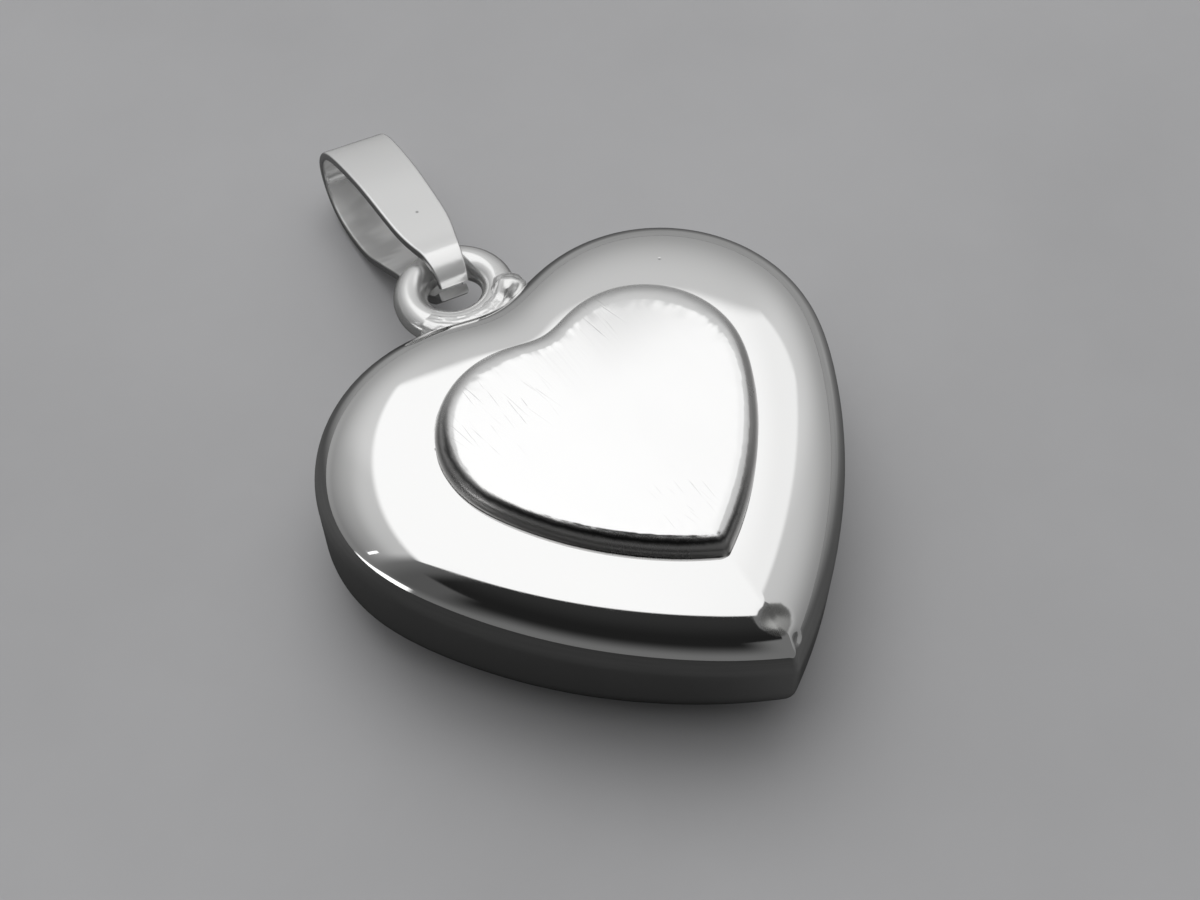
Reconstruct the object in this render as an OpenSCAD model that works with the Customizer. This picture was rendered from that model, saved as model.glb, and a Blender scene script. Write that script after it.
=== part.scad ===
/* [Heart] */
// Overall width across the two lobes
heart_w = 22; // [18:0.5:30]
// Distance between the centres of the two lobes
lobe_gap = 8.5; // [7:0.1:9]
// Radius of the long side between a lobe and the tip
flank_r = 24.5; // [20:0.5:32]
// Angle below the level of the lobe centres where a lobe runs into its side
flank_angle = 25; // [20:1:30]
// Radius of the tip, seen from the front
tip_r = 0.35; // [0.25:0.05:0.8]
// Radius of the cleft between the lobes
cleft_r = 1.9; // [1.5:0.1:3]
// Height of the upright band round the edge
band_h = 2.65; // [1.5:0.05:3]
// Rise of the front dome above the band
front_rise = 2.35; // [1.5:0.05:3]
// Depth of the back dome below the band
back_rise = 2.35; // [1.5:0.05:3.5]
// How much thinner the back is at the tip than at the lobes
tip_taper = 1; // [0:0.05:1.4]
// Size of the flat on the back that it rests on, as a share of the outline
rest_share = 0.4; // [0.25:0.01:0.5]
// Thickness of the pressed metal
metal_t = 0.5; // [0.4:0.05:0.8]

/* [Inner heart] */
// Width at its foot
inner_w = 13; // [11:0.2:14]
// Length at its foot
inner_l = 12.4; // [11:0.1:14]
// Distance from the middle of the large heart up to the middle of the small one
inner_up = 0.25; // [0:0.05:1]
// Radius of its tip
inner_tip_r = 0.45; // [0.2:0.05:0.6]
// Height of its edge above the front dome
inner_h = 0.85; // [0.4:0.05:1]
// Width of its rounded edge at the lobes, seen from the front
inner_round = 1.15; // [0.5:0.05:1.5]
// Rise of its face from the edge to the middle
inner_crown = 0.1; // [0:0.05:0.4]
// Depth of the seat it is let into
seat_d = 0.15; // [0.1:0.05:0.25]
// Clearance between the small heart and its seat
seat_gap = 0.03; // [0.02:0.01:0.06]

/* [Eye ring] */
// Diameter of the wire
eye_wire = 1.45; // [1:0.05:1.6]
// Diameter of the hole
eye_hole = 2.3; // [2.2:0.05:3]
// Sideways offset of the ring in the cleft
eye_shift = -0.3; // [-0.6:0.05:0.6]
// Distance between the ring and the bottom of the cleft, bridged by solder
eye_gap = 0.2; // [0:0.05:0.3]
// Depth of its middle below the shoulder of the front dome
eye_drop = 0.9; // [0.8:0.05:1.2]
// Angle by which its far side dips
eye_tilt = 6; // [0:1:10]
// Radius of the solder collar at its foot
solder_r = 0.85; // [0.8:0.05:1]

/* [Bail] */
// Thickness of the strap
strap_t = 0.4; // [0.3:0.05:0.45]
// Width of the strap at its two ends, inside the eye ring
bail_end_w = 1.2; // [1.1:0.05:1.4]
// Width of the strap just above the eye ring
bail_low_w = 2.4; // [1.8:0.05:2.6]
// Width of the strap halfway up
bail_mid_w = 2.75; // [2.5:0.05:3.5]
// Width of the strap at the top bend
bail_top_w = 3.05; // [2.8:0.05:4]
// Angle by which the bail lies down towards the surface
bail_pitch = 13; // [10:0.5:15]
// Angle by which it leans down to one side
bail_roll = 5.5; // [0:0.5:12]
// Angle by which it is turned off the line of the heart
bail_yaw = -5.5; // [-8:0.5:8]

/* [Hidden] */
$fn = 48;

// Steps along the four arcs of half an outline, and up each dome
tip_steps = 2;
flank_steps = 12;
lobe_steps = 20;
cleft_steps = 4;
dome_steps = 9;
// Margin by which a cutter passes through a face
over = 0.2;

// Heart outline, measured from the level of the lobe centres
lobe_x = lobe_gap / 2;
lobe_r = heart_w / 2 - lobe_x;
flank_c = [lobe_x, 0] + (lobe_r - flank_r) * [cos(flank_angle), -sin(flank_angle)];
cleft_c = [0, sqrt(pow(lobe_r + cleft_r, 2) - pow(lobe_x, 2))];
cleft_angle = atan2(cleft_c.y, -lobe_x);
tip_y = tip_centre(tip_r).y - tip_r;
cleft_y = cleft_c.y - cleft_r;
heart_l = lobe_r - tip_y;
heart_mid = (lobe_r + tip_y) / 2;

// Levels, measured from the surface it rests on
band_z = back_rise;
shoulder_z = band_z + band_h;
front_z = shoulder_z + front_rise;
eye_z = shoulder_z - eye_drop;

// Eye ring at the bottom of the cleft: its far side carries the bail
eye_r = (eye_hole + eye_wire) / 2;
eye_y = cleft_y + eye_gap + eye_r + eye_wire / 2;
bail_x = 0.04;
bail_y = eye_y + eye_r * cos(eye_tilt);
bail_z = eye_z - eye_r * sin(eye_tilt);

// Middle line of the strap in side view, from one end round the top bend to the other:
// distance along the bail from the eye wire, and height above the wire
strap_line = [
    [-1.55, 0.05], [-1.26, 0.57], [-0.58, 1.04], [0.4, 1.18], [2.4, 1.46], [4.8, 1.68], [7.2, 1.58],
    [8.5, 1.2], [9.1, 0.35], [8.85, -0.7], [8, -1.63], [6.6, -2.13], [4.9, -2.17],
    [3.2, -1.7], [1.5, -1.2], [0.1, -1.12], [-0.85, -0.98], [-1.5, -0.43]
];
strap_steps = 4;
bail_top = 9.3;

// Distance that centres the whole pendant on the origin
far_y = bail_y + bail_top * cos(bail_pitch) * cos(bail_yaw) + bail_top_w / 2 * sin(abs(bail_yaw));
shift_y = -(far_y + tip_y) / 2;

function mix(a, b, t) = a + (b - a) * t;

function arc(c, r, from, to, steps) =
    [for (i = [0 : steps - 1]) c + r * [cos(mix(from, to, i / steps)), sin(mix(from, to, i / steps))]];

// Centre of the tip arc of the given radius
function tip_centre(r) = [0, flank_c.y - sqrt(pow(flank_r - r, 2) - pow(flank_c.x, 2))];

// Right half of the outline, from the tip of the given radius up to the cleft
function half_outline(r) = let (c = tip_centre(r), turn = atan2(c.y - flank_c.y, c.x - flank_c.x)) concat(
    arc(c, r, -90, turn, tip_steps),
    arc(flank_c, flank_r, turn, -flank_angle, flank_steps),
    arc([lobe_x, 0], lobe_r, -flank_angle, cleft_angle, lobe_steps),
    arc(cleft_c, cleft_r, cleft_angle - 180, -90, cleft_steps),
    [[0, cleft_y]]
);

// Whole outline, centred on the middle of its length
function outline(r) = let (h = half_outline(r), n = len(h)) [
    for (p = h) [p.x, p.y - heart_mid],
    for (i = [n - 2 : -1 : 1]) [-h[i].x, h[i].y - heart_mid]
];

// A row of a loft holds the share of the width, the share of the length, the distance
// up the heart, the level at the lobes, and how much higher that level is at the tip.
// The level rises with this power of the way towards the tip
taper_power = 3;
function ring(row, r) = [for (p = outline(r)) [
    p.x * row[0],
    p.y * row[1] + row[2] + heart_mid,
    row[3] + row[4] * pow(0.5 - p.y / heart_l, taper_power)
]];

module loft(rows, r) {
    n = len(outline(r));
    last = len(rows) - 1;
    points = [for (row = rows) each ring(row, r)];
    sides = [for (k = [0 : last - 1], i = [0 : n - 1]) let (
        a = k * n + i,
        b = k * n + (i + 1) % n
    ) each [[a, b + n, b], [a, a + n, b + n]]];
    floor_face = [[for (i = [0 : n - 1]) i]];
    top_face = [[for (i = [n - 1 : -1 : 0]) last * n + i]];
    polyhedron(points, concat(floor_face, sides, top_face));
}

// Rows of the puffed heart, all of them inset by the given thickness
function puffed_rows(inset) = let (
    fit = [1 - 2 * inset / heart_w, 1 - 2 * inset / heart_l],
    rest = [rest_share, rest_share, 0],
    seat = [inner_w / heart_w, inner_l / heart_l, inner_up]
) [
    for (i = [0 : dome_steps]) let (t = 90 - 90 * i / dome_steps)
        dome_row(rest, fit, t, band_z - (back_rise - inset) * sin(t), tip_taper * (1 - sin(t))),
    for (i = [0 : dome_steps]) let (t = 90 * i / dome_steps)
        dome_row(seat, fit, t, shoulder_z + (front_rise - inset) * sin(t), 0)
];

// One row of a dome that is a quarter of an ellipse from the band in to its crown
function dome_row(crown, fit, t, z, taper) = let (in = 1 - cos(t)) [
    mix(1, crown[0], in) * fit[0],
    mix(1, crown[1], in) * fit[1],
    crown[2] * in,
    z,
    taper
];

// Rows of the small heart: foot, rounded edge and slightly domed face
edge_steps = 6;
face_steps = 4;
// Share of the way to the middle at which the face closes in one flat
face_end = 0.95;
// Height of its edge above the front dome that stays upright
edge_foot = 0.05;
function inner_rows() = let (
    foot = front_z - seat_d + seat_gap,
    top = front_z + inner_h
) concat(
    [inner_row(0, foot)],
    [for (i = [0 : edge_steps]) let (t = 90 * i / edge_steps)
        inner_row(inner_round * (1 - cos(t)), top - (inner_h - edge_foot) * (1 - sin(t)))],
    [for (i = [1 : face_steps]) let (in = face_end * i / face_steps)
        inner_row(mix(inner_round, inner_w / 2, in), top + inner_crown * (1 - pow(1 - in, 2)))]
);
function inner_row(inset, z) = [
    (inner_w - 2 * inset) / heart_w,
    (inner_l - 2 * inset * inner_l / inner_w) / heart_l,
    inner_up,
    z,
    0
];

// Radius of the large heart's tip that gives the small one its own
inner_tip = inner_tip_r * heart_w / inner_w;

module seat_outline() {
    grow = 2 * seat_gap;
    translate([0, heart_mid + inner_up])
        polygon([for (p = outline(inner_tip)) [
            p.x * (inner_w + grow) / heart_w,
            p.y * (inner_l + grow) / heart_l
        ]]);
}

// The solder collar runs along this much of the ring, and lies a little outside its wire
solder_turn = 100;
solder_out = 0.3;
module eye_ring() {
    translate([eye_shift, eye_y, eye_z]) rotate([-eye_tilt, 0, 0]) {
        rotate_extrude() translate([eye_r, 0]) circle(d = eye_wire);
        rotate([0, 0, -90 - solder_turn / 2])
            rotate_extrude(angle = solder_turn) translate([eye_r + solder_out, 0]) circle(r = solder_r);
    }
}

module heart_body() {
    color("silver") translate([0, shift_y, 0]) difference() {
        union() {
            loft(puffed_rows(0), tip_r);
            eye_ring();
        }
        loft(puffed_rows(metal_t), tip_r);
        translate([0, 0, front_z - seat_d]) linear_extrude(over + seat_d) seat_outline();
    }
}

module inner_heart() {
    color("gainsboro") translate([0, shift_y, 0]) loft(inner_rows(), inner_tip);
}

// Point of a smooth curve through p1 and p2, with p0 and p3 as their outer neighbours
function smooth(p0, p1, p2, p3, t) = 0.5 * (2 * p1 + (p2 - p0) * t
    + (2 * p0 - 5 * p1 + 4 * p2 - p3) * pow(t, 2) + (3 * p1 - p0 - 3 * p2 + p3) * pow(t, 3));

function strap_points() = let (p = strap_line, n = len(p)) [
    for (k = [0 : n - 2], i = [0 : strap_steps - 1])
        smooth(p[max(k - 1, 0)], p[k], p[k + 1], p[min(k + 2, n - 1)], i / strap_steps),
    p[n - 1]
];

// Unit vector square to the strap at point i
function strap_side(p, i) = let (
    d = p[min(i + 1, len(p) - 1)] - p[max(i - 1, 0)]
) [-d.y, d.x] / norm(d);

// Side view of the strap: its two ends are closed on each other
module strap_section() {
    difference() {
        strap_face(strap_t / 2);
        strap_face(-strap_t / 2);
    }
}
module strap_face(off) {
    p = strap_points();
    polygon([for (i = [0 : len(p) - 1]) p[i] + off * strap_side(p, i)]);
}

// Outline of the strap from the front, with narrow ends and bowed sides
module strap_taper() {
    knee = 1.2;
    belly = 4.5;
    right = [
        [bail_end_w / 2, strap_line[0].x - over],
        [bail_low_w / 2, knee],
        [bail_mid_w / 2, belly],
        [bail_top_w / 2, bail_top + over]
    ];
    translate([0, 0, -bail_top / 2]) linear_extrude(bail_top)
        polygon([for (p = right) p, for (i = [3 : -1 : 0]) [-right[i].x, right[i].y]]);
}

module bail() {
    color("lightgray")
        translate([bail_x, bail_y + shift_y, bail_z])
            rotate([0, 0, bail_yaw]) rotate([-bail_pitch, 0, 0]) rotate([0, bail_roll, 0])
                intersection() {
                    rotate([90, 0, 90]) translate([0, 0, -bail_top_w])
                        linear_extrude(2 * bail_top_w) strap_section();
                    strap_taper();
                }
}

heart_body();
inner_heart();
bail();
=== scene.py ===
import math
import bmesh
import bpy
import numpy as np
from mathutils import Matrix, Vector


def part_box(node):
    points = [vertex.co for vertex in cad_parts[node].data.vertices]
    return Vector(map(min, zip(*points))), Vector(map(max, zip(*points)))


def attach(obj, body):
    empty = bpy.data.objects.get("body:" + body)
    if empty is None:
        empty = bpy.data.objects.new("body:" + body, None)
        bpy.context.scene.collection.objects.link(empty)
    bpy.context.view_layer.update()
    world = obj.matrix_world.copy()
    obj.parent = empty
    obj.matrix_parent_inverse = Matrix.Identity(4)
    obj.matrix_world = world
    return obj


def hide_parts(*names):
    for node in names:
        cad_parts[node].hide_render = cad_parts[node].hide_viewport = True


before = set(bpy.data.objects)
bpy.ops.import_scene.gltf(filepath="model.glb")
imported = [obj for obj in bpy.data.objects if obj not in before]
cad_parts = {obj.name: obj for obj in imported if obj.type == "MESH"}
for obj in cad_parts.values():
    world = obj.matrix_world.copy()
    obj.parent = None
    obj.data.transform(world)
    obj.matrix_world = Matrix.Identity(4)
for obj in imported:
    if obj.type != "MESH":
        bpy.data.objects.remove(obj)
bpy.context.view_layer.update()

mm = 0.001
print("frame loaded:", sorted(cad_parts))


class Wire:
    # a socket that Python's operators work on: each operator adds its Math node
    def __init__(self, desk, socket):
        self.desk, self.socket = desk, socket

    def both(self, operation, a, b):
        return self.desk.node("Math", {"operation": operation}, {0: a, 1: b})

    def __add__(self, other): return self.both("ADD", self, other)
    def __radd__(self, other): return self.both("ADD", other, self)
    def __sub__(self, other): return self.both("SUBTRACT", self, other)
    def __rsub__(self, other): return self.both("SUBTRACT", other, self)
    def __mul__(self, other): return self.both("MULTIPLY", self, other)
    def __rmul__(self, other): return self.both("MULTIPLY", other, self)
    def __truediv__(self, other): return self.both("DIVIDE", self, other)
    def __pow__(self, other): return self.both("POWER", self, other)
    def __mod__(self, other): return self.both("MODULO", self, other)


class Desk:
    # one node tree; every node but the Math ones of a Wire comes from node()
    def __init__(self, tree, family="Shader"):
        self.tree, self.family = tree, family
        tree.nodes.clear()

    def node(self, kind, settings=None, sockets=None, out=0):
        made = None
        for prefix in (self.family, "Shader", "Function", "Geometry", ""):
            if hasattr(bpy.types, prefix + "Node" + kind):
                made = self.tree.nodes.new(prefix + "Node" + kind)
                break
        for name, value in (settings or {}).items():
            setattr(made, name, value)
        for name, value in (sockets or {}).items():
            if isinstance(value, Wire):
                self.tree.links.new(value.socket, made.inputs[name])
            else:
                made.inputs[name].default_value = value
        return Wire(self, made.outputs[out]) if len(made.outputs) else made

    def also(self, wire, out):                    # another output of the node that a wire leaves
        return Wire(self, wire.socket.node.outputs[out])

    def one(self, operation, value):              # a Math node with a single input
        return self.node("Math", {"operation": operation}, {0: value})

    def smooth(self, value, low, high):           # 0 below low, 1 above high
        return self.node("MapRange", {"interpolation_type": "SMOOTHSTEP"},
                         {"Value": value, "From Min": low, "From Max": high})

    def share(self, value, start, length):        # straight from 0 at start to 1 a length further on
        return self.node("MapRange", None,
                         {"Value": value, "From Min": start, "From Max": start + length})

    def band(self, value, rise, fall):            # 1 between where a value rises and where it falls
        return self.smooth(value, *rise) * (1 - self.smooth(value, *fall))

    def blend(self, mask, a, b):                  # two colours
        return self.node("Mix", {"data_type": "RGBA"}, {"Factor": mask, "A": a, "B": b}, out=2)

    def grain(self, scale, stretch=(1, 1, 1), detail=2.0, rough=0.5, shift=(0, 0, 0)):
        place = self.node("TexCoord", out="Object")
        place = self.node("Mapping", None, {"Vector": place, "Scale": stretch, "Location": shift})
        return self.node("TexNoise", None, {
            "Vector": place, "Scale": scale, "Detail": detail, "Roughness": rough})

    def place(self):                              # x, y and z of the piece's own coordinates
        spot = self.node("SeparateXYZ", None, {"Vector": self.node("TexCoord", out="Object")})
        return spot, self.also(spot, 1), self.also(spot, 2)

    def grey(self, tone):                         # a number as a colour
        return self.node("CombineXYZ", None, {0: tone, 1: tone, 2: tone})

    def angle(self, up, ahead):                   # in degrees
        return self.node("Math", {"operation": "ARCTAN2"}, {0: up, 1: ahead}) * math.degrees(1)

    def circle(self, points, radius):
        return self.node("CurvePrimitiveCircle", None, {"Resolution": points, "Radius": radius})

    def apart(self, a, b):                        # how far two points are from each other
        return self.node("VectorMath", {"operation": "DISTANCE"}, {0: a, 1: b}, out=1)


def newMaterial(name):
    made = bpy.data.materials.new(name)
    made.use_nodes = True
    return made, Desk(made.node_tree)


def finishMetal(desk, tone, rough, height, metal=1.0):      # a little less than 1 for whitened silver
    bump = desk.node("Bump", None, {"Strength": 1.0, "Distance": 1.0, "Height": height})
    shader = desk.node("BsdfPrincipled", None, {
        "Base Color": tone, "Metallic": metal, "Roughness": rough, "Normal": bump})
    desk.node("OutputMaterial", None, {"Surface": shader})


polish = {
    "colour": (0.93, 0.93, 0.925, 1), "sootAndPitColour": (0.16, 0.155, 0.15, 1),
    "roughLow": 0.025, "roughHigh": 0.07,   # clean metal, and where it has been handled
    "smudgePerM": 260, "smudge": (0.42, 0.68), "smudgeSoft": 0.25,      # smudges of about 4 mm
    "wavePerM": 210, "waveDepth": 0.008 * mm,  # the pressed sheet is never quite even
    # fine polishing hairlines in three directions: stretch and shift of each
    "hairWays": [((1, 0.09, 0.4), 0), ((0.12, 1, 0.3), 7), ((0.6, 0.7, 0.05), 13)],
    "hairPerM": 2600, "hairWidth": 0.006, "hairDepth": 0.00005 * mm, "hairRough": 0.02,
    "pitPerM": 900, "pitSize": 0.09, "pitDepth": 0.03 * mm, "pitDark": 0.6,
    "rarePerM": 333, "rare": (0.66, 0.7),            # only few places have pits
    "sootPerM": 1300, "soot": (0.5, 0.75),
}


def polishedParts(desk, waviness, soot, soft=0.0):
    # tone, roughness and height of polished silver
    smudge = desk.smooth(desk.grain(polish["smudgePerM"], detail=5, rough=0.62), *polish["smudge"])
    hairs = 0
    for stretch, push in polish["hairWays"]:
        field = desk.grain(polish["hairPerM"], stretch=stretch, detail=1, shift=(push, push, push))
        hairs = hairs + (1 - desk.smooth(desk.one("ABSOLUTE", field - 0.5), 0, polish["hairWidth"]))
    near = desk.node("TexVoronoi", None, {
        "Vector": desk.node("TexCoord", out="Object"), "Scale": polish["pitPerM"]})
    rare = desk.smooth(desk.grain(polish["rarePerM"], detail=1), *polish["rare"])
    pit = (1 - desk.smooth(near, 0, polish["pitSize"])) * rare
    wave = desk.grain(polish["wavePerM"], detail=1.5, rough=0.4) * (polish["waveDepth"] * waviness)
    height = wave - hairs * polish["hairDepth"] - pit * polish["pitDepth"]
    spread = polish["roughHigh"] - polish["roughLow"] + soft * polish["smudgeSoft"]
    rough = smudge * spread + (polish["roughLow"] + soft) + hairs * polish["hairRough"]
    dark = desk.smooth(desk.grain(polish["sootPerM"], detail=4, rough=0.7), *polish["soot"]) * soot
    # soot patches and pits are drawn darker
    return desk.blend(dark + pit * polish["pitDark"], polish["colour"], polish["sootAndPitColour"]), rough, height


def polishedSilver(name, waviness=1.0, soot=0.0, soft=0.0, metal=1.0):
    made, desk = newMaterial(name)
    finishMetal(desk, *polishedParts(desk, waviness, soot, soft), metal)
    return made


knock = {
    "at": (0.05, -15.15, 6.75), "reach": 0.68, "edge": (0.78, 0.98),     # place and size in mm
    # the knock's grey tone is a painted reflection; its higher roughness is its own
    "tone": (0.45, 0.45, 0.44, 1), "rough": 0.22, "raggedPerM": 2400, "ragged": 0.25,
}


def knockedSilver(name):
    # polished silver, with a rougher knock near the tip whose grey tone is a painted reflection
    made, desk = newMaterial(name)
    tone, rough, height = polishedParts(desk, 1.0, 0.0)
    away = desk.apart(desk.node("TexCoord", out="Object"), tuple(v * mm for v in knock["at"]))
    ragged = (desk.grain(knock["raggedPerM"], detail=3) - 0.5) * knock["ragged"]
    dullAndPaintedGrey = 1 - desk.smooth(away / (knock["reach"] * mm) + ragged, *knock["edge"])
    # painted reflection: the knock is painted grey
    tone = desk.blend(dullAndPaintedGrey, tone, knock["tone"])
    finishMetal(desk, tone, rough + dullAndPaintedGrey * knock["rough"], height)
    return made


strap = {
    "tone": (1.0, 1.0, 0.995, 1), "blotchSpotAndEdgeReflection": (0.3, 0.3, 0.3, 1),
    "soft": 0.11, "insideRough": 0.34, "waves": 1.2, "metal": 0.65,
    # the uneven inner face is blotched light and dark
    "blotchPerM": 620, "blotchStretch": (0.5, 1, 1), "blotch": (0.4, 0.6), "blotchTone": 0.36,
    "mark": (0.503, 9.709, 5.017), "markSize": 0.11,   # one small dark spot, in mm
}


def strapSilver(name):
    # softly polished outside, matt inside the loop, and painted dark along its cut edges as a painted dark
    # reflection
    made, desk = newMaterial(name)
    side = desk.node("Attribute", {"attribute_name": "side"}, None, out="Fac")
    inside = desk.node("Attribute", {"attribute_name": "inside"}, None, out="Fac")
    _, rough, height = polishedParts(desk, strap["waves"], 0.0, strap["soft"])
    away = desk.apart(desk.node("TexCoord", out="Object"), tuple(v * mm for v in strap["mark"]))
    mark = 1 - desk.smooth(away / (strap["markSize"] * mm), 0, 1)
    blotch = desk.grain(strap["blotchPerM"], stretch=strap["blotchStretch"], detail=2)
    blotch = desk.smooth(blotch, *strap["blotch"])
    # the cut edges get a painted dark reflection; the inner face gets dark blotches, and there is one dark
    # spot
    shade = inside * (1 - blotch) * strap["blotchTone"] + side + mark
    tone = desk.blend(shade, strap["tone"], strap["blotchSpotAndEdgeReflection"])
    finishMetal(desk, tone, rough + inside * strap["insideRough"], height, strap["metal"])
    return made


satin = {
    # the edge colour towards the tip and the line colour are painted dark reflections
    "colour": (0.985, 0.985, 0.982, 1), "edgeDarkReflection": (0.52, 0.515, 0.51, 1),
    "lobeColour": (0.9, 0.9, 0.895, 1), "lineDarkReflection": (0.1, 0.1, 0.1, 1),
    "rough": 0.075, "roughSpread": 0.05, "brushRough": 0.05, "edgeRough": 0.24,
    "brushPerM": 9000, "brushStretch": (1, 0.018, 1), "brushDepth": 0.0006 * mm,
    "patchPerM": 190, "patch": (0.35, 0.7),           # the face is unevenly rough
    "faceStart": 0.6, "faceFull": 0.68,      # where on the rounded edge the satin face begins
    "lobeStart": 0.12, "lobeFull": 0.15,     # at the lobes it begins earlier and fades in more slowly
    "raggedPerM": 3400, "raggedStretch": (1, 0.3, 1), "faceRagged": 0.1, "lineRagged": 0.16,
    "middle": -5.3,                          # the heart's middle along the piece, in mm
    "tipWay": (0.27, 0.96), "tipSide": (0.5, 4.5),    # the edge is painted darker towards the tip, a painted dark reflection
    "leftWay": (0.8, 0.55), "leftSide": (-3.5, 1.5),  # the painted dark line, also a painted reflection, shows on the left only
    "lineAt": 0.52, "lineWidth": 0.13,
}
scratches = {
    # sets of short scratches: turn in degrees, spacing across and along in mm, width as a share of it
    "sets": [(-7.0, 0.5, 2.0, 0.05), (-14.0, 0.75, 2.6, 0.03), (2.0, 0.4, 1.1, 0.04)],
    "spots": [(-3.6, 2.5, 2.7), (1.9, 4.0, 1.5), (-0.2, -4.6, 1.6)],   # across, along and reach in mm
    "spotEdge": 0.4, "breakPerM": 700, "breakShift": (0.4, 1.1, 0), "break": (0.35, 0.6),
    "fade": (0.15, 0.5), "chance": (0.45, 0.9),
    "colour": (0.4, 0.4, 0.4, 1), "strength": 0.6, "depth": 0.0012 * mm,
}


def scratchMask(desk, across, along):
    # short dashes, one in some of the long cells of each set, near the given spots
    some = 0
    for x, y, reach in scratches["spots"]:
        away = ((across - x) ** 2.0 + (along - y) ** 2.0) ** 0.5 / reach
        some = some + (1 - desk.smooth(away, scratches["spotEdge"], 1))
    broken = desk.grain(scratches["breakPerM"], detail=1, shift=scratches["breakShift"])
    some = some * desk.smooth(broken, *scratches["break"])
    mask = 0
    for turn, apart, length, width in scratches["sets"]:
        cell = desk.node("VectorRotate", {"rotation_type": "Z_AXIS"}, {
            "Vector": desk.node("TexCoord", out="Object"), "Angle": math.radians(turn)})
        cell = desk.node("VectorMath", {"operation": "MULTIPLY"}, {
            0: cell, 1: (1 / (apart * mm), 1 / (length * mm), 0)})
        near = desk.node("TexVoronoi", {"voronoi_dimensions": "2D"}, {"Vector": cell, "Scale": 1.0})
        away = desk.node("VectorMath", {"operation": "SUBTRACT"}, {0: cell, 1: desk.also(near, 2)})
        away = desk.node("SeparateXYZ", None, {"Vector": away})
        chance = desk.node("SeparateXYZ", None, {"Vector": desk.also(near, 1)})
        dash = 1 - desk.smooth(desk.one("ABSOLUTE", away), 0, width)
        dash = dash * (1 - desk.smooth(desk.one("ABSOLUTE", desk.also(away, 1)), *scratches["fade"]))
        mask = mask + dash * desk.smooth(chance, *scratches["chance"]) * some
    return mask


def satinSilver(name):
    # a brushed face with a few scratches, inside a rounded edge painted darker towards the tip and given a
    # painted dark line: both painted reflections
    made, desk = newMaterial(name)
    inward = desk.node("Attribute", {"attribute_name": "inward"}, None, out="Fac")
    ragged = desk.grain(satin["raggedPerM"], stretch=satin["raggedStretch"], detail=5, rough=0.7) - 0.5
    x, y, _ = desk.place()
    across, along = x * (1 / mm), (y - satin["middle"] * mm) * (1 / mm)
    tip = across * satin["tipWay"][0] + along * satin["tipWay"][1]
    tip = 1 - desk.smooth(tip, *satin["tipSide"])                 # 1 towards the tip
    left = across * satin["leftWay"][0] + along * satin["leftWay"][1]
    left = 1 - desk.smooth(left, *satin["leftSide"])
    start = satin["faceStart"] - (1 - tip) * satin["lobeStart"]
    full = satin["faceFull"] + (1 - tip) * satin["lobeFull"]
    face = desk.smooth(inward + ragged * satin["faceRagged"] * tip, start, full)
    line = desk.one("ABSOLUTE", inward + ragged * satin["lineRagged"] - satin["lineAt"])
    line = (1 - desk.smooth(line, 0, satin["lineWidth"])) * tip * left
    brush = desk.grain(satin["brushPerM"], stretch=satin["brushStretch"], detail=3, rough=0.6)
    patch = desk.smooth(desk.grain(satin["patchPerM"], detail=3), *satin["patch"])
    scratch = scratchMask(desk, across, along) * face
    _, edgeRough, edgeHeight = polishedParts(desk, 1.0, 0.0)
    height = face * (brush * satin["brushDepth"]) + (1 - face) * edgeHeight
    height = height - scratch * scratches["depth"]
    rough = patch * satin["roughSpread"] + brush * satin["brushRough"] + satin["rough"]
    rough = face * rough + (1 - face) * (edgeRough + satin["edgeRough"])
    faceTone = desk.blend(scratch * scratches["strength"], satin["colour"], scratches["colour"])
    # painted reflection: the edge is painted darker towards the tip, with a painted dark line on the left
    edge = desk.blend(tip, satin["lobeColour"], satin["edgeDarkReflection"])
    edge = desk.blend(line, edge, satin["lineDarkReflection"])
    finishMetal(desk, desk.blend(face, edge, faceTone), rough, height)
    return made


bodySilver = knockedSilver("polished_silver")
ringSilver = polishedSilver("ring_silver", soft=0.14, metal=0.85)
solderSilver = polishedSilver("solder_silver", waviness=2.0, soot=0.1, soft=0.18, metal=0.8)
bailSilver = strapSilver("strap_silver")
faceSilver = satinSilver("satin_silver")
print("materials made:", len(bpy.data.materials))


weld = 1e-7                # points nearer than this, in metres, are one
crispAngle = math.radians(38)


def nodeTree(name, inputs, base=None):
    # a Geometry Nodes tree with a named input for every size that it is given
    tree = bpy.data.node_groups.new(name, "GeometryNodeTree")
    tree.interface.new_socket("Geometry", in_out="OUTPUT", socket_type="NodeSocketGeometry")
    if base:
        tree.interface.new_socket(base, in_out="INPUT", socket_type="NodeSocketGeometry")
    for label, value in inputs.items():
        kind = {int: "Int", float: "Float", tuple: "Vector"}.get(type(value), "Material")
        tree.interface.new_socket(label, in_out="INPUT", socket_type="NodeSocket" + kind)
    desk = Desk(tree, "Geometry")
    given = desk.node("GroupInput")
    return tree, desk, lambda label: desk.also(given, label)


def closeTree(desk, shape, take):
    # every tree ends here: put in place, shaded smooth but for its sharp edges, and painted
    turned = desk.node("Transform", None, {
        "Geometry": shape, "Translation": take("Place"), "Rotation": take("Turn")})
    soft = desk.node("SetShadeSmooth", None, {"Geometry": turned})
    corner = desk.node("Compare", {"data_type": "FLOAT", "operation": "GREATER_THAN"}, {
        "A": desk.node("InputMeshEdgeAngle"), "B": crispAngle})
    crisp = desk.node("SetShadeSmooth", {"domain": "EDGE"}, {
        "Geometry": soft, "Selection": corner, "Shade Smooth": False})
    real = desk.node("RealizeInstances", None, {"Geometry": crisp})
    painted = desk.node("SetMaterial", None, {"Geometry": real, "Material": take("Silver")})
    desk.node("GroupOutput", None, {0: painted})


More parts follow.
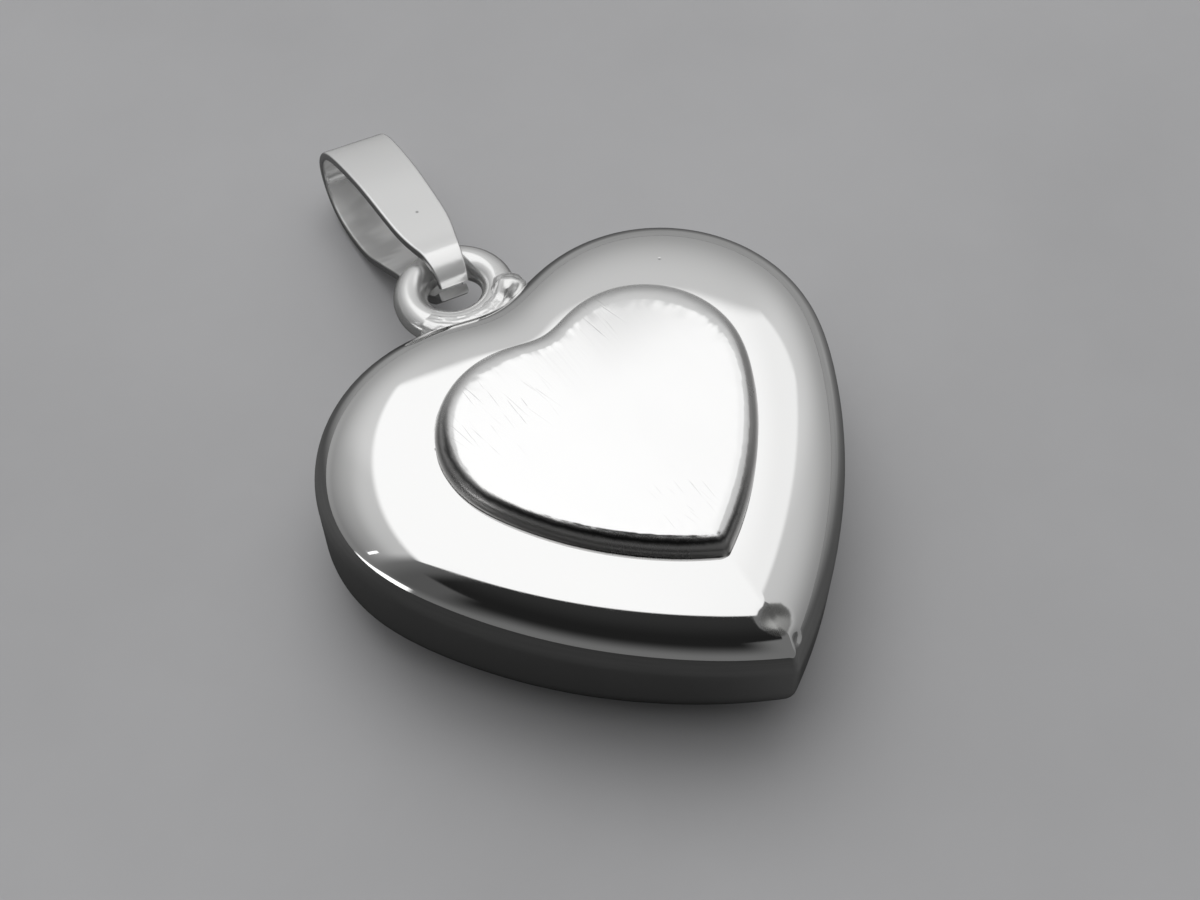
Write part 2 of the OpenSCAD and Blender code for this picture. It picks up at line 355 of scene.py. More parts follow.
def growPiece(name, tree, inputs, base=None):
    # the modifier gets its inputs by identifier; its result becomes the piece's own mesh
    made = bpy.data.objects.new(name, base or bpy.data.meshes.new(name))
    bpy.context.scene.collection.objects.link(made)
    modifier = made.modifiers.new(name, "NODES")
    modifier.node_group = tree
    for item in tree.interface.items_tree:
        if item.in_out == "INPUT" and item.name in inputs:
            modifier[item.identifier] = inputs[item.name]
    seen = made.evaluated_get(bpy.context.evaluated_depsgraph_get())
    mesh = bpy.data.meshes.new_from_object(seen)
    made.modifiers.clear()
    made.data = mesh
    mesh.name = name
    work = bmesh.new()
    work.from_mesh(mesh)
    bmesh.ops.remove_doubles(work, verts=work.verts, dist=weld)
    bmesh.ops.recalc_face_normals(work, faces=work.faces)
    work.to_mesh(mesh)
    work.free()
    return made


def markPoints(desk, shape, name, value):
    # keeps a number at every point, for the material to read
    return desk.node("StoreNamedAttribute", {"data_type": "FLOAT", "domain": "POINT"}, {
        "Geometry": shape, "Name": name, "Value": value})


def finishPiece(piece, node):
    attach(piece, "root")
    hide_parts(node)
    print("piece", piece.name, "faces", len(piece.data.polygons))


def lineMesh(name, points, closed):
    mesh = bpy.data.meshes.new(name)
    count = len(points)
    edges = [(i, (i + 1) % count) for i in range(count if closed else count - 1)]
    mesh.from_pydata((np.asarray(points) * mm).tolist(), edges, [])
    return mesh


heart = {
    "width": 22.0, "lobeGap": 8.5, "flankR": 24.5, "flankTurn": 25.0, "tipR": 0.35, "cleftR": 1.9,
    "backRise": 2.35, "bandH": 2.65, "frontRise": 2.35, "tipTaper": 1.0, "taperPower": 3.0,
    "restShare": 0.4, "seatDepth": 0.15,
    # knocks near the tip: place, radius and depth in mm
    "dents": [((-0.1, -15.0, 6.9), 0.6, 0.06), ((0.28, -15.25, 6.8), 0.6, 0.06),
              ((0.42, -16.0, 6.15), 0.35, 0.05)],
    "dentLean": -0.5,       # a knock goes down, and half as far towards the lobes
    "points": 520, "arcStep": 0.02,
    "tipShare": (0.02, 0.008),    # the first 2% of the points go to the first 0.8% of the line
    "calm": 160,            # rounds of smoothing where one arc of the outline runs into the next
    "tipKeep": (1.2, 2.0),  # the smoothing starts 1.2 mm from the tip and is full 2 mm further on
}
small = {
    "width": 13.0, "length": 12.4, "up": 0.25, "tipR": 0.45,
    "edgeH": 0.85, "edgeRound": 1.15, "edgeFoot": 0.05, "gap": 0.03,
    "crown": 0.1, "rise": 0.035,            # the face itself rises less than the crown of the CAD
    "under": 0.006,                         # and its middle stays this far below the CAD
    "wear": 0.032, "wearPerM": 1500.0,      # the rounded edge is worn
    "wornFrom": (0.2, 0.6), "wornTo": (1.0, 1.06),
}

dentNames = ["Dent %d" % (k + 1) for k in range(len(heart["dents"]))]
lobeX = heart["lobeGap"] / 2
lobeR = heart["width"] / 2 - lobeX
flankTurn = -math.radians(heart["flankTurn"])
flankWay = np.array([math.cos(flankTurn), math.sin(flankTurn)])
flankAt = np.array([lobeX, 0]) + (lobeR - heart["flankR"]) * flankWay
cleftAt = np.array([0, math.sqrt((lobeR + heart["cleftR"]) ** 2 - lobeX ** 2)])


def tipCentre(r):
    return np.array([0, flankAt[1] - math.sqrt((heart["flankR"] - r) ** 2 - flankAt[0] ** 2)])


tipY = float(tipCentre(heart["tipR"])[1]) - heart["tipR"]
cleftY = float(cleftAt[1]) - heart["cleftR"]
heartL = lobeR - tipY
heartMid = (lobeR + tipY) / 2
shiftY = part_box("heart_body")[0].y / mm - tipY          # centres the whole pendant on the origin
shoulderZ = heart["backRise"] + heart["bandH"]
frontZ = shoulderZ + heart["frontRise"]


def arcPoints(centre, r, start, end):
    count = max(8, int(abs(end - start) * r / heart["arcStep"]))
    turn = np.linspace(start, end, count, endpoint=False)
    return np.array(centre) + r * np.c_[np.cos(turn), np.sin(turn)]


def heartOutline(name, r, wide=1.0, tall=1.0):
    # a closed line from the tip round the right lobe, the cleft and the left lobe, round its own middle
    c = tipCentre(r)
    lowTurn = math.atan2(c[1] - flankAt[1], c[0] - flankAt[0])
    highTurn = math.atan2(cleftAt[1], -lobeX)
    right = np.vstack([
        arcPoints(c, r, -math.pi / 2, lowTurn),
        arcPoints(flankAt, heart["flankR"], lowTurn, flankTurn),
        arcPoints((lobeX, 0), lobeR, flankTurn, highTurn),
        arcPoints(cleftAt, heart["cleftR"], highTurn - math.pi, -math.pi / 2),
        [[0, cleftY]],
    ])
    gone = np.r_[0, np.cumsum(np.hypot(*np.diff(right, axis=0).T))]
    even = np.linspace(0, 1, heart["points"] // 2 + 1)
    along = np.interp(even, [0, heart["tipShare"][0], 1], [0, heart["tipShare"][1], 1]) * gone[-1]
    right = np.c_[np.interp(along, gone, right[:, 0]), np.interp(along, gone, right[:, 1])]
    loop = np.vstack([right, np.c_[-right[-2:0:-1, 0], right[-2:0:-1, 1]]])
    hold = np.clip((loop[:, 1] - tipY - heart["tipKeep"][0]) / heart["tipKeep"][1], 0, 1)[:, None]
    for _ in range(heart["calm"]):
        loop = loop + hold * 0.5 * ((np.roll(loop, 1, 0) + np.roll(loop, -1, 0)) / 2 - loop)
    loop[:, 0] *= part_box("heart_body")[1].x / mm / loop[:, 0].max()
    flat = np.c_[loop[:, 0] * wide, (loop[:, 1] - heartMid) * tall, np.zeros(len(loop))]
    return lineMesh(name, flat, True)


def heartTree(inputs):
    # a grid whose columns go round the outline and whose rows go from the middle of the back to the
    # middle of the front: back dome, upright band, front dome, step down to the seat, and cover
    tree, desk, take = nodeTree("heart_tree", inputs, "Outline")
    around = desk.node("AttributeDomainSize", {"component": "MESH"}, {"Geometry": take("Outline")})
    footRows, stepRows, flatRows = 2, 2, 1
    rows = footRows + take("Back Rows") + take("Band Rows") + take("Front Rows")
    rows = rows + (stepRows + flatRows) + take("Cover Rows")
    grid = desk.node("MeshGrid", None, {"Vertices X": around + 1, "Vertices Y": rows + 1})
    index = desk.node("InputIndex")
    row = index % (rows + 1)
    column = desk.one("FLOOR", index / (rows + 1) + 0.0001) % around      # a little over, against rounding
    place = desk.node("SampleIndex", {"data_type": "FLOAT_VECTOR"}, {
        "Geometry": take("Outline"), "Value": desk.node("InputPosition"), "Index": column})
    start = desk.node("SeparateXYZ", None, {"Vector": place})
    x, y = start, desk.also(start, 1)
    foot = desk.share(row, 0, footRows)
    back = desk.share(row, footRows, take("Back Rows"))
    first = take("Back Rows") + footRows
    band = desk.share(row, first, take("Band Rows"))
    second = first + take("Band Rows")
    front = desk.share(row, second, take("Front Rows"))
    third = second + take("Front Rows")
    step = desk.share(row, third, stepRows)
    cover = desk.share(row, third + (stepRows + flatRows), take("Cover Rows"))
    backTurn, frontTurn = (1 - back) * (math.pi / 2), front * (math.pi / 2)
    lower, upper = desk.one("SINE", backTurn), desk.one("SINE", frontTurn)
    intoBack, intoFront = 1 - desk.one("COSINE", backTurn), 1 - desk.one("COSINE", frontTurn)
    rest = (take("Rest Share") - 1) * intoBack
    closing = foot * (1 - cover)
    wide = ((take("Crown Width") - 1) * intoFront + rest + 1) * closing
    tall = ((take("Crown Length") - 1) * intoFront + rest + 1) * closing
    level = take("Back Rise") * (1 - lower) + take("Band Height") * band + take("Front Rise") * upper
    level = level - take("Seat Depth") * step + take("Cover Rise") * (1 - (1 - cover) ** 2.0)
    towardTip = (0.5 - y / take("Length")) ** take("Taper Power")
    lift = take("Tip Taper") * (1 - lower) * (1 - band) * towardTip
    spot = desk.node("CombineXYZ", None, {
        0: x * wide, 1: y * tall + take("Crown Up") * intoFront, 2: level + lift})
    shaped = desk.node("SetPosition", None, {"Geometry": grid, "Position": spot})
    marked = markPoints(desk, shaped, "inward", front + cover)
    whole = desk.node("MergeByDistance", None, {"Geometry": marked, "Distance": weld})
    wear = desk.node("TexNoise", {"noise_dimensions": "4D"}, {
        "Vector": desk.node("InputPosition"), "W": take("Seed"),
        "Scale": take("Wear Scale"), "Detail": 2.0})
    ridge = desk.node("InputNamedAttribute", {"data_type": "FLOAT"}, {"Name": "inward"})
    worn = desk.band(ridge, small["wornFrom"], small["wornTo"]) * (wear - 0.5) * take("Wear")
    worn = desk.node("CombineXYZ", None, {2: worn})
    uneven = desk.node("SetPosition", None, {"Geometry": whole, "Offset": worn})
    for mark in dentNames:
        far = desk.apart(desk.node("InputPosition"), take(mark + " Place"))
        hollow = (1 - desk.smooth(far / take(mark + " Size"), 0, 1)) * take(mark + " Depth") * -1
        push = desk.node("CombineXYZ", None, {1: hollow * heart["dentLean"], 2: hollow})
        uneven = desk.node("SetPosition", None, {"Geometry": uneven, "Offset": push})
    closeTree(desk, uneven, take)
    return tree


def heartInputs(length, place, silver, seed, **sizes):
    # what a heart isn't given stays flat, plain and unworn
    given = {"Back Rows": 26, "Band Rows": 8, "Front Rows": 40, "Cover Rows": 4, "Length": length * mm,
             "Back Rise": 0.0, "Band Height": 0.0, "Front Rise": 0.0, "Tip Taper": 0.0,
             "Taper Power": heart["taperPower"], "Rest Share": 0.9,
             "Crown Width": 1.0, "Crown Length": 1.0, "Crown Up": 0.0, "Seat Depth": 0.0,
             "Cover Rise": 0.0, "Wear": 0.0, "Wear Scale": 900.0, "Seed": float(seed),
             "Place": tuple(v * mm for v in place), "Turn": (0.0, 0.0, 0.0), "Silver": silver}
    for mark, (spot, size, depth) in zip(dentNames, heart["dents"]):
        given[mark + " Place"] = tuple(float(v - w) * mm for v, w in zip(spot, place))
        given[mark + " Size"], given[mark + " Depth"] = size * mm, depth * mm
    given.update({label.replace("_", " "): value for label, value in sizes.items()})
    return given


largeInputs = heartInputs(
    heartL, (0, heartMid + shiftY, 0), bodySilver, 3,
    Back_Rise=heart["backRise"] * mm, Band_Height=heart["bandH"] * mm,
    Front_Rise=heart["frontRise"] * mm, Tip_Taper=heart["tipTaper"] * mm, Rest_Share=heart["restShare"],
    Crown_Width=(small["width"] + 2 * small["gap"]) / heart["width"],
    Crown_Length=(small["length"] + 2 * small["gap"]) / heartL,
    Crown_Up=small["up"] * mm, Seat_Depth=heart["seatDepth"] * mm)
hearts = heartTree(largeInputs)
largeHeart = growPiece("large_heart", hearts, largeInputs, heartOutline("large_outline", heart["tipR"]))
finishPiece(largeHeart, "heart_body")

smallWide, smallTall = small["width"] / heart["width"], small["length"] / heartL
smallFoot = frontZ - heart["seatDepth"] + small["gap"]
smallInputs = heartInputs(
    small["length"], (0, heartMid + shiftY + small["up"], smallFoot), faceSilver, 5,
    Back_Rows=4, Front_Rows=20, Cover_Rows=30,
    Band_Height=(frontZ + small["edgeFoot"] - smallFoot) * mm,
    Front_Rise=(small["edgeH"] - small["edgeFoot"] + small["crown"] - small["rise"]) * mm,
    Crown_Width=1 - 2 * small["edgeRound"] / small["width"],
    Crown_Length=1 - 2 * small["edgeRound"] / small["width"],
    Cover_Rise=(small["rise"] - small["under"]) * mm,
    Wear=small["wear"] * mm, Wear_Scale=small["wearPerM"])
smallHeart = growPiece("small_heart", hearts, smallInputs,
                       heartOutline("small_outline", small["tipR"] / smallWide, smallWide, smallTall))
finishPiece(smallHeart, "inner_heart")


ring = {
    "wire": 1.45, "hole": 2.3, "shift": -0.3, "gap": 0.2, "drop": 0.9, "tilt": 6.0,
    "around": 160, "across": 56,
}
eyeR = (ring["hole"] + ring["wire"]) / 2
eyeY = cleftY + ring["gap"] + eyeR + ring["wire"] / 2 + shiftY
eyeZ = shoulderZ - ring["drop"]
ringInputs = {"Ring Radius": eyeR * mm, "Wire Radius": ring["wire"] / 2 * mm, "Around": ring["around"],
              "Across": ring["across"], "Place": (ring["shift"] * mm, eyeY * mm, eyeZ * mm),
              "Turn": (-math.radians(ring["tilt"]), 0.0, 0.0), "Silver": ringSilver}


def ringTree(inputs):
    tree, desk, take = nodeTree("ring_tree", inputs)
    circle = desk.circle(take("Around"), take("Ring Radius"))
    wire = desk.circle(take("Across"), take("Wire Radius"))
    closeTree(desk, desk.node("CurveToMesh", None, {"Curve": circle, "Profile Curve": wire}), take)
    return tree


eyeRing = growPiece("eye_ring", ringTree(ringInputs), ringInputs)
finishPiece(eyeRing, "heart_body")


solder = {
    "radius": 0.82, "out": 0.3, "turn": 124.0, "seed": 4,
    "around": 200, "across": 90,
    "streakDepth": 0.13, "streakRun": (0.045, 0.012),       # the streaks change slowly along the bead
    "crumpleSize": 0.42, "crumpleDepth": 0.06, "crumpleShare": (0.3, 1.6),    # bead, and heap on top
    # the heap of solder at its right end, in degrees along the ring and round the bead
    "lumpAt": -44.0, "lumpUp": 62.0, "lumpRise": 0.5, "lumpTurn": 22.0, "lumpSpread": (10, 75),
}
solderInputs = {
    "Ring Radius": (eyeR + solder["out"]) * mm, "Bead Radius": solder["radius"] * mm,
    "Around": solder["around"], "Across": solder["across"],
    "Start": math.radians(-90 - solder["turn"] / 2), "Sweep": math.radians(solder["turn"]),
    "Streak Depth": solder["streakDepth"] * mm, "Crumples": 1 / (solder["crumpleSize"] * mm),
    "Crumple Depth": solder["crumpleDepth"] * mm, "Lump Rise": solder["lumpRise"] * mm,
    "Seed": float(solder["seed"]),
    "Place": ringInputs["Place"], "Turn": ringInputs["Turn"], "Silver": solderSilver}


def solderTree(inputs):
    # a bead along the near side of the ring, drawn out in streaks, with a crumpled heap at its right
    tree, desk, take = nodeTree("solder_tree", inputs)
    arc = desk.node("CurveArc", None, {"Resolution": take("Around"), "Radius": take("Ring Radius"),
                                       "Start Angle": take("Start"), "Sweep Angle": take("Sweep")})
    bead = desk.circle(take("Across"), take("Bead Radius"))
    tube = desk.node("CurveToMesh", None, {"Curve": arc, "Profile Curve": bead, "Fill Caps": True})
    spot = desk.node("SeparateXYZ", None, {"Vector": desk.node("InputPosition")})
    x, y, z = spot, desk.also(spot, 1), desk.also(spot, 2)
    out = (x * x + y * y) ** 0.5 - take("Ring Radius")
    along, up = desk.angle(y, x), desk.angle(z, out)
    streakAt = desk.node("CombineXYZ", None, {
        0: up * solder["streakRun"][0], 1: along * solder["streakRun"][1], 2: take("Seed")})
    streak = desk.node("TexNoise", None, {
        "Vector": streakAt, "Scale": 1.0, "Detail": 4.0, "Roughness": 0.6})
    cells = desk.node("TexVoronoi", None, {
        "Vector": desk.node("InputPosition"), "Scale": take("Crumples")})
    heap = 1 - desk.smooth(desk.one("ABSOLUTE", along - solder["lumpAt"]) / solder["lumpTurn"], 0, 1)
    heap = heap * (1 - desk.smooth(desk.one("ABSOLUTE", up - solder["lumpUp"]), *solder["lumpSpread"]))
    crumple = heap * solder["crumpleShare"][1] + solder["crumpleShare"][0]
    push = (streak - 0.5) * 2 * take("Streak Depth") - cells * take("Crumple Depth") * crumple
    push = push + heap * take("Lump Rise")
    offset = desk.node("VectorMath", {"operation": "SCALE"}, {
        0: desk.node("InputNormal"), "Scale": push})
    closeTree(desk, desk.node("SetPosition", None, {"Geometry": tube, "Offset": offset}), take)
    return tree


solderCollar = growPiece("solder_collar", solderTree(solderInputs), solderInputs)
finishPiece(solderCollar, "heart_body")


bail = {
    "thick": 0.4, "corner": 0.09, "x": 0.04, "pitch": 13.0, "roll": 5.5, "yaw": -5.5,
    # distance along the bail from the eye wire, and height above the wire
    "line": [(-1.55, 0.05), (-1.26, 0.57), (-0.58, 1.04), (0.4, 1.18), (2.4, 1.46), (4.8, 1.68),
             (7.2, 1.58), (8.5, 1.2), (9.1, 0.35), (8.85, -0.7), (8, -1.63), (6.6, -2.13), (4.9, -2.17),
             (3.2, -1.7), (1.5, -1.2), (0.1, -1.12), (-0.85, -0.98), (-1.5, -0.43)],
    # width at each distance along the bail
    "widths": [(-1.75, 1.2), (-0.4, 1.75), (1.2, 2.5), (2.8, 2.64), (4.5, 2.76), (7, 2.92), (9.5, 3.04)],
    "nominal": 2.0,          # the strip's width before it takes the widths above
    "steps": 14, "across": 104, "cornerSteps": 6, "calm": 24,     # fineness, and rounds of smoothing
    "wave": 0.05, "wavePerM": 900.0, "waveStretch": (0.35, 1, 1), "seed": 2.0,
    # the uneven part of the inner face: its start along the strap, its height in mm, and its slope
    "innerAlong": (0.0, 1.5), "innerHeight": (-1.2, 0.4), "innerSlope": (0.2, 0.6),
    "edgeSlope": (0.45, 0.8),         # how far sideways the cut edges face
}
ringTilt = math.radians(ring["tilt"])
bailTurn = Matrix.Rotation(math.radians(bail["yaw"]), 3, "Z")
bailTurn = bailTurn @ Matrix.Rotation(-math.radians(bail["pitch"]), 3, "X")
bailTurn = bailTurn @ Matrix.Rotation(math.radians(bail["roll"]), 3, "Y")
bailInputs = {
    "Thickness": bail["thick"] * mm, "Corner": bail["corner"] * mm, "Corner Steps": bail["cornerSteps"],
    "Nominal Width": bail["nominal"] * mm, "Across": bail["across"],
    "Wave Depth": bail["wave"] * mm, "Wave Scale": bail["wavePerM"], "Seed": bail["seed"],
    "Place": (bail["x"] * mm, (eyeY + eyeR * math.cos(ringTilt)) * mm,
              (eyeZ - eyeR * math.sin(ringTilt)) * mm),
    "Turn": tuple(bailTurn.to_euler()), "Silver": bailSilver}


def strapPath():
    # smooth line of the strap in side view, with half its width kept at every point
    line = np.array(bail["line"], float)
    path = []
    for k in range(len(line) - 1):
        a, b, c, d = (line[min(max(k + j, 0), len(line) - 1)] for j in (-1, 0, 1, 2))
        for t in np.arange(bail["steps"]) / bail["steps"]:
            path.append(0.5 * (2 * b + (c - a) * t + (2 * a - 5 * b + 4 * c - d) * t ** 2
                               + (3 * b - a - 3 * c + d) * t ** 3))
    path = np.array(path + [line[-1]])
    half = np.interp(path[:, 0], *np.array(bail["widths"]).T) / 2
    for _ in range(bail["calm"]):
        half[1:-1] = (half[:-2] + 2 * half[1:-1] + half[2:]) / 4
    mesh = lineMesh("strap_path", np.c_[np.zeros(len(path)), path], False)
    mesh.attributes.new("half", "FLOAT", "POINT").data.foreach_set("value", half * mm)
    return mesh


def strapTree(inputs):
    # a rounded strip drawn along the path and widened by the path's half width; its inner face is uneven
    tree, desk, take = nodeTree("strap_tree", inputs, "Path")
    path = desk.node("MeshToCurve", None, {"Mesh": take("Path")})
    strip = desk.node("CurvePrimitiveQuadrilateral", None, {
        "Width": take("Nominal Width"), "Height": take("Thickness")})
    soft = desk.node("FilletCurve", {"mode": "POLY"}, {
        "Curve": strip, "Radius": take("Corner"), "Count": take("Corner Steps")})
    fine = desk.node("ResampleCurve", None, {"Curve": soft, "Count": take("Across")})
    solid = desk.node("CurveToMesh", None, {"Curve": path, "Profile Curve": fine, "Fill Caps": True})
    spot = desk.node("SeparateXYZ", None, {"Vector": desk.node("InputPosition")})
    x, y, z = spot, desk.also(spot, 1), desk.also(spot, 2)
    half = desk.node("InputNamedAttribute", {"data_type": "FLOAT"}, {"Name": "half"})
    wide = desk.node("CombineXYZ", None, {0: x * half / (take("Nominal Width") * 0.5), 1: y, 2: z})
    widened = desk.node("SetPosition", None, {"Geometry": solid, "Position": wide})
    normal = desk.node("InputNormal")
    facing = desk.node("SeparateXYZ", None, {"Vector": normal})
    back = desk.smooth(y, *(v * mm for v in bail["innerAlong"]))
    back = back * (1 - desk.smooth(z, *(v * mm for v in bail["innerHeight"])))
    inner = back * desk.smooth(desk.also(facing, 2), *bail["innerSlope"])
    waveAt = desk.node("VectorMath", {"operation": "MULTIPLY"}, {
        0: desk.node("InputPosition"), 1: bail["waveStretch"]})
    wave = desk.node("TexNoise", {"noise_dimensions": "4D"}, {
        "Vector": waveAt, "W": take("Seed"), "Scale": take("Wave Scale"),
        "Detail": 2.0, "Roughness": 0.4})
    push = desk.node("VectorMath", {"operation": "SCALE"}, {
        0: normal, "Scale": (wave - 0.5) * take("Wave Depth") * inner})
    uneven = desk.node("SetPosition", None, {"Geometry": widened, "Offset": push})
    marked = markPoints(desk, uneven, "inside", inner)
    edge = desk.smooth(desk.one("ABSOLUTE", facing), *bail["edgeSlope"])
    marked = markPoints(desk, marked, "side", edge)
    closeTree(desk, marked, take)
    return tree


bailStrap = growPiece("bail_strap", strapTree(bailInputs), bailInputs, strapPath())
finishPiece(bailStrap, "bail")


studio = {
    "floor": (0.52, 0.52, 0.53, 1), "floorRough": 0.85, "floorSize": 1.2,
    "mottlePerM": 26, "mottle": (0.3, 0.72), "mottleShare": 0.35, "mottleDim": 0.72,
    "lampSize": 0.3, "lampPower": 0.35, "lampAt": (0.06, 0.16, 0.34),
}
card = {
    # a graded card on the floor that only reflections see, with painted shade on the camera's side and a
    # painted sheen far off: how light it is, from the camera's side round
    "near": 0.051, "side": 0.105, "far": 0.4, "turn": -15.0,
    "nearTurn": (-0.95, -0.35), "farTurn": (0.0, 0.7), "farReach": (12, 34),    # reach in mm
    "grainPerM": 90, "grain": (0.75, 0.5),
}
camera = {
    # where the photograph was taken from: place in mm and turns in degrees
    "at": (-22.4869, -32.7062, 64.5093), "tilt": 32.569, "heading": -35.853,
    "lens": 54.0, "sensor": 36.0, "nearest": 5.0 * mm,
}


def flatDisc(name, radius, z, material, count=96):
    turn = np.linspace(0, 2 * math.pi, count, endpoint=False)
    rim = np.c_[radius * np.cos(turn), radius * np.sin(turn), np.full(count, z)]
    mesh = bpy.data.meshes.new(name)
    mesh.from_pydata(rim.tolist(), [], [tuple(range(count))])
    mesh.materials.append(material)
    made = bpy.data.objects.new(name, mesh)
    bpy.context.scene.collection.objects.link(made)
    return made


def plainSurface(name, colour, rough):
    made, desk = newMaterial(name)
    mottle = desk.smooth(desk.grain(studio["mottlePerM"], detail=6, rough=0.6), *studio["mottle"])
    dim = tuple(c * studio["mottleDim"] for c in colour[:3]) + (1,)
    tone = desk.blend(mottle * studio["mottleShare"], colour, dim)
    shader = desk.node("BsdfPrincipled", None, {"Base Color": tone, "Roughness": rough})
    desk.node("OutputMaterial", None, {"Surface": shader})
    return made


def cardSurface(name):
    made, desk = newMaterial(name)
    turned = desk.node("VectorRotate", {"rotation_type": "Z_AXIS"}, {
        "Vector": desk.node("TexCoord", out="Object"),
        "Angle": math.radians(-card["turn"] - camera["heading"])})
    reach = desk.node("VectorMath", {"operation": "LENGTH"}, {0: turned}, out=1)
    ahead = desk.also(desk.node("SeparateXYZ", None, {"Vector": turned}), 1) / (reach + 0.0001)
    # painted shade towards the camera's side, and a painted sheen far off
    tone = desk.smooth(ahead, *card["nearTurn"]) * (card["side"] - card["near"]) + card["near"]
    far = desk.smooth(ahead, *card["farTurn"]) * desk.smooth(reach, *(v * mm for v in card["farReach"]))
    tone = tone + far * (card["far"] - card["side"])
    grain = desk.grain(card["grainPerM"], detail=5, rough=0.6)
    tone = tone * (grain * card["grain"][1] + card["grain"][0])
    shader = desk.node("BsdfPrincipled", None, {
        "Base Color": desk.grey(tone), "Roughness": 0.9, "Specular IOR Level": 0.0})
    desk.node("OutputMaterial", None, {"Surface": shader})
    return made


paleFloor = plainSurface("pale_floor", studio["floor"], studio["floorRough"])
floor = flatDisc("floor", studio["floorSize"], -0.02 * mm, paleFloor)
shade = flatDisc("floor_shade", studio["floorSize"], -0.01 * mm, cardSurface("painted_shade_and_sheen_card"))
shade.visible_camera = shade.visible_diffuse = shade.visible_shadow = False

lampData = bpy.data.lights.new("soft_lamp", "AREA")
lampData.shape, lampData.size, lampData.energy = "SQUARE", studio["lampSize"], studio["lampPower"]
lamp = bpy.data.objects.new("soft_lamp", lampData)
lamp.location = studio["lampAt"]
lamp.rotation_euler = (-Vector(studio["lampAt"])).to_track_quat("-Z", "Y").to_euler()
lamp.visible_glossy = False
bpy.context.scene.collection.objects.link(lamp)

# What the silver mirrors. Places of the soft box are given as a plan: across and ahead of the
# camera, over the height. Other pairs say where something begins and where it is full: turns in
# degrees off the camera's own direction, heights in degrees above the floor.
softBox = {
    "tone": 1.02, "dim": 0.12, "dimAcross": (-0.1, 0.5),       # a little dimmer at its right
    "left": 0.79, "right": 0.52, "slant": 0.44, "near": -0.40,
    "far": 0.76, "notch": 0.76, "end": 1.27, "endSlant": 0.2,  # its far side has a notch at the middle
    "soft": 0.06, "nearSoft": 0.015,
}
walls = {
    "low": 0.33, "high": 0.58, "top": 0.75,
    "dim": 0.42, "dimTurn": (75, 130),                         # darker low beside the dark front
    "leftDim": 0.2, "leftSide": (0.5, 0.9), "leftRise": (3, 12), "leftTop": (30, 44),
    "glow": 0.1, "glowFrom": (16, 34), "glowTo": (46, 62), "glowRise": (5, 36),
}
darkFront = {
    # where the photograph was taken from: grey at its edge, with a nearly black core
    "tone": 0.15, "edge": (62.0, 71.0), "right": 22.0, "rightRise": (13, 23),
    "dusk": 0.42, "duskFrom": (28, 42), "duskTo": (52, 66), "duskRise": (2, 16),
    "coreLow": 0.013, "coreHigh": 0.028, "coreHighRise": (38, 64), "coreRise": (6.0, 31.0),
    "coreMid": -14.0, "coreEdge": (34.0, 41.0), "coreNotch": 11.0, "notchRise": (33, 40),
}
stripLight = {
    # low at the left, thinner towards one end, with a short upright bar over it
    "tone": 1.3, "from": (47.0, 50.0), "to": (73.0, 77.0), "rise": 9.0, "edge": (-2, 0),
    "thin": 0.68, "thinTurn": (55, 77), "barAt": 72.0, "barHalf": (0.5, 1.1),
    "barRise": (16, 19), "barTop": (28.0, 30.0),
}
backdrop = (0.4, 0.4, 0.41, 1)        # what the camera itself sees past the floor


def boxLight(desk, side, ahead, rise):
    # 1 inside the soft box, and its tone
    tall = desk.node("Math", {"operation": "MAXIMUM"}, {0: rise, 1: 0.02})
    across, along = side / tall, ahead / tall
    soft, nearSoft = softBox["soft"], softBox["nearSoft"]
    far = desk.node("Math", {"operation": "MINIMUM"}, {
        0: desk.one("ABSOLUTE", across) * softBox["notch"] + softBox["far"],
        1: softBox["end"] - across * softBox["endSlant"]})
    box = desk.smooth(across, -softBox["left"] - soft, -softBox["left"] + soft)
    box = box * (1 - desk.smooth(across - along * softBox["slant"] - softBox["right"], -soft, soft))
    box = box * desk.smooth(along, softBox["near"] - nearSoft, softBox["near"] + nearSoft)
    box = box * (1 - desk.smooth(along - far, -soft, soft))
    return box, softBox["tone"] * (1 - desk.smooth(across, *softBox["dimAcross"]) * softBox["dim"])


def wallTone(desk, side, rise, off, height):
    tone = walls["low"] + desk.smooth(rise, 0.0, walls["top"]) * (walls["high"] - walls["low"])
    tone = tone * (1 - (1 - desk.smooth(off, *walls["dimTurn"])) * (1 - rise) * walls["dim"])
    left = desk.band(height, walls["leftRise"], walls["leftTop"])
    left = left * desk.smooth(0 - side, *walls["leftSide"])
    tone = tone * (1 - left * walls["leftDim"])
    corner = desk.band(180 - off, walls["glowFrom"], walls["glowTo"])
    return tone + corner * desk.smooth(height, *walls["glowRise"]) * walls["glow"]


def frontTone(desk, turn, off, height, leftSide):
    skew = desk.one("ABSOLUTE", off * desk.one("SIGN", turn) - darkFront["coreMid"])
    half = skew + (1 - desk.smooth(height, *darkFront["notchRise"])) * darkFront["coreNotch"]
    core = (1 - desk.smooth(half, *darkFront["coreEdge"])) * desk.smooth(height, *darkFront["coreRise"])
    depth = darkFront["coreHigh"] - darkFront["coreLow"]
    depth = desk.smooth(height, *darkFront["coreHighRise"]) * depth
    dusk = desk.band(off, darkFront["duskFrom"], darkFront["duskTo"])
    dusk = dusk * desk.smooth(height, *darkFront["duskRise"]) * leftSide
    tone = darkFront["tone"] * (1 - dusk * darkFront["dusk"])
    return tone * (1 - core) + core * (depth + darkFront["coreLow"])


